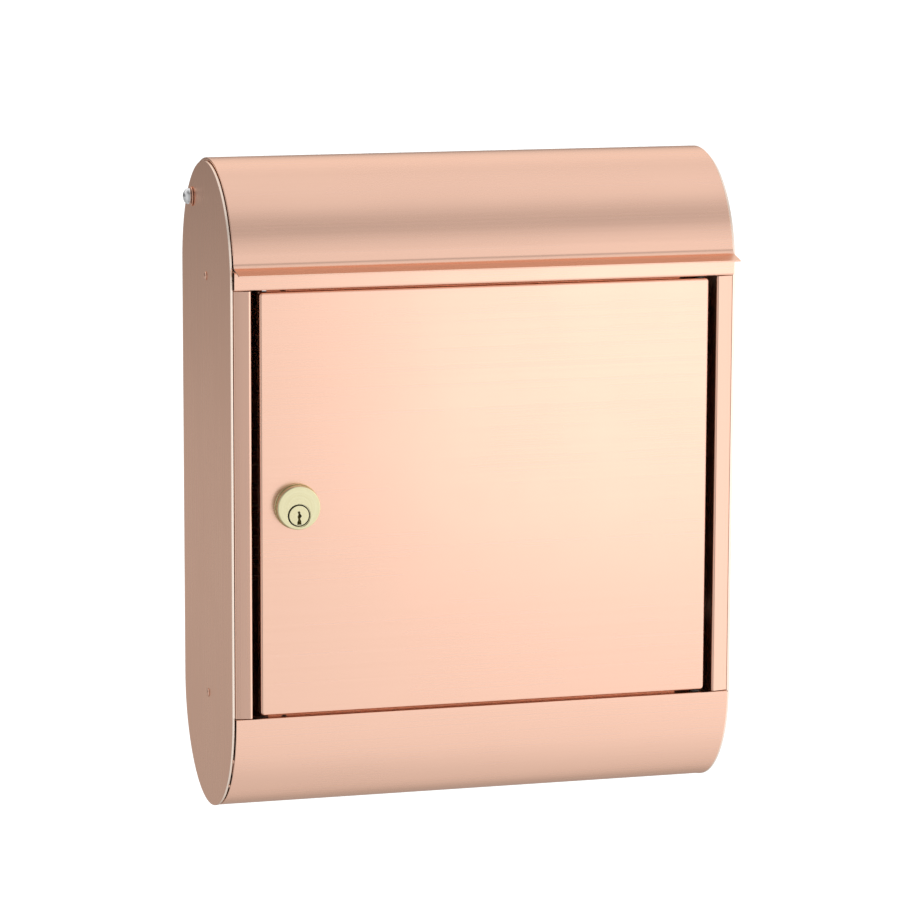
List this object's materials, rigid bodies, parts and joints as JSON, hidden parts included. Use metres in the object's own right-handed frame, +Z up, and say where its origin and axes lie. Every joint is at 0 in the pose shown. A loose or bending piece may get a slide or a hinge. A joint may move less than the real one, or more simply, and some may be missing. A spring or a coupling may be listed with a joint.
{
  "type": "wall mounted mailbox",
  "caption": "Copper sheet wall mailbox with round ends, a curved lift-up lid over the mail slot and a side hung door with a key cam lock.",
  "frame": {"origin": "centre of the back panel's wall face", "axes": "+X to the viewer's right, +Y into the wall, +Z up; the door faces -Y"},
  "size_m": [0.3944, 0.182, 0.4823],
  "materials": {
    "satin_copper": "satin copper plated sheet, fine grain along the sheet, clear lacquered",
    "brass": "bright turned brass",
    "bright_steel": "polished",
    "zinc_steel": "zinc plated",
    "nylon": "black, moulded",
    "rubber": "black, matt"
  },
  "bodies": {
    "case": {"left_side_plate": "satin_copper", "right_side_plate": "satin_copper", "back_panel": "satin_copper", "bottom_pan": "satin_copper", "left_side_channel": "satin_copper", "right_side_channel": "satin_copper", "header_rail": "satin_copper", "left_lower_rivet": "satin_copper", "left_upper_rivet": "satin_copper", "right_lower_rivet": "satin_copper", "right_upper_rivet": "satin_copper", "left_pivot_pin": "bright_steel", "right_pivot_pin": "bright_steel", "left_pivot_washer": "satin_copper", "right_pivot_washer": "satin_copper", "left_pivot_spacer": "nylon", "right_pivot_spacer": "nylon", "left_pivot_nut": "zinc_steel", "right_pivot_nut": "zinc_steel", "lower_hinge_pin": "zinc_steel", "upper_hinge_pin": "zinc_steel", "lower_hinge_washer": "nylon", "upper_hinge_washer": "nylon", "lock_keeper": "zinc_steel", "lower_keeper_rivet": "zinc_steel", "upper_keeper_rivet": "zinc_steel", "left_lid_stop": "rubber", "right_lid_stop": "rubber", "lower_door_stop": "rubber", "upper_door_stop": "rubber"},
    "lid": {"lid_shell": "satin_copper", "left_lid_arm": "satin_copper", "right_lid_arm": "satin_copper"},
    "door": {"door_panel": "satin_copper", "door_stiffener": "zinc_steel", "lock_cylinder": "brass", "lock_collar": "brass", "lock_nut": "zinc_steel", "driver_pin_1": "brass", "driver_pin_2": "brass", "driver_pin_3": "brass", "driver_pin_4": "brass", "driver_pin_5": "brass", "driver_spring_1": "bright_steel", "driver_spring_2": "bright_steel", "driver_spring_3": "bright_steel", "driver_spring_4": "bright_steel", "driver_spring_5": "bright_steel"},
    "plug": {"lock_plug": "brass", "key_pin_1": "brass", "key_pin_2": "brass", "key_pin_3": "brass", "key_pin_4": "brass", "key_pin_5": "brass", "lock_cam": "zinc_steel", "cam_screw": "zinc_steel"}
  },
  "joints": [
    {"name": "lid_lift", "type": "hinge", "parent": "case", "child": "lid", "pos_m": [0, -0.036, 0.2095], "axis": [-1, 0, 0], "range_deg": [0, 50]},
    {"name": "door_swing", "type": "hinge", "parent": "case", "child": "door", "pos_m": [0.1639, -0.1604, 0], "axis": [0, 0, 1], "range_deg": [0, 115]},
    {"name": "plug_turn", "type": "hinge", "parent": "door", "child": "plug", "pos_m": [-0.1429, -0.1614, -0.008], "axis": [0, -1, 0], "range_deg": [0, 90]}
  ]
}
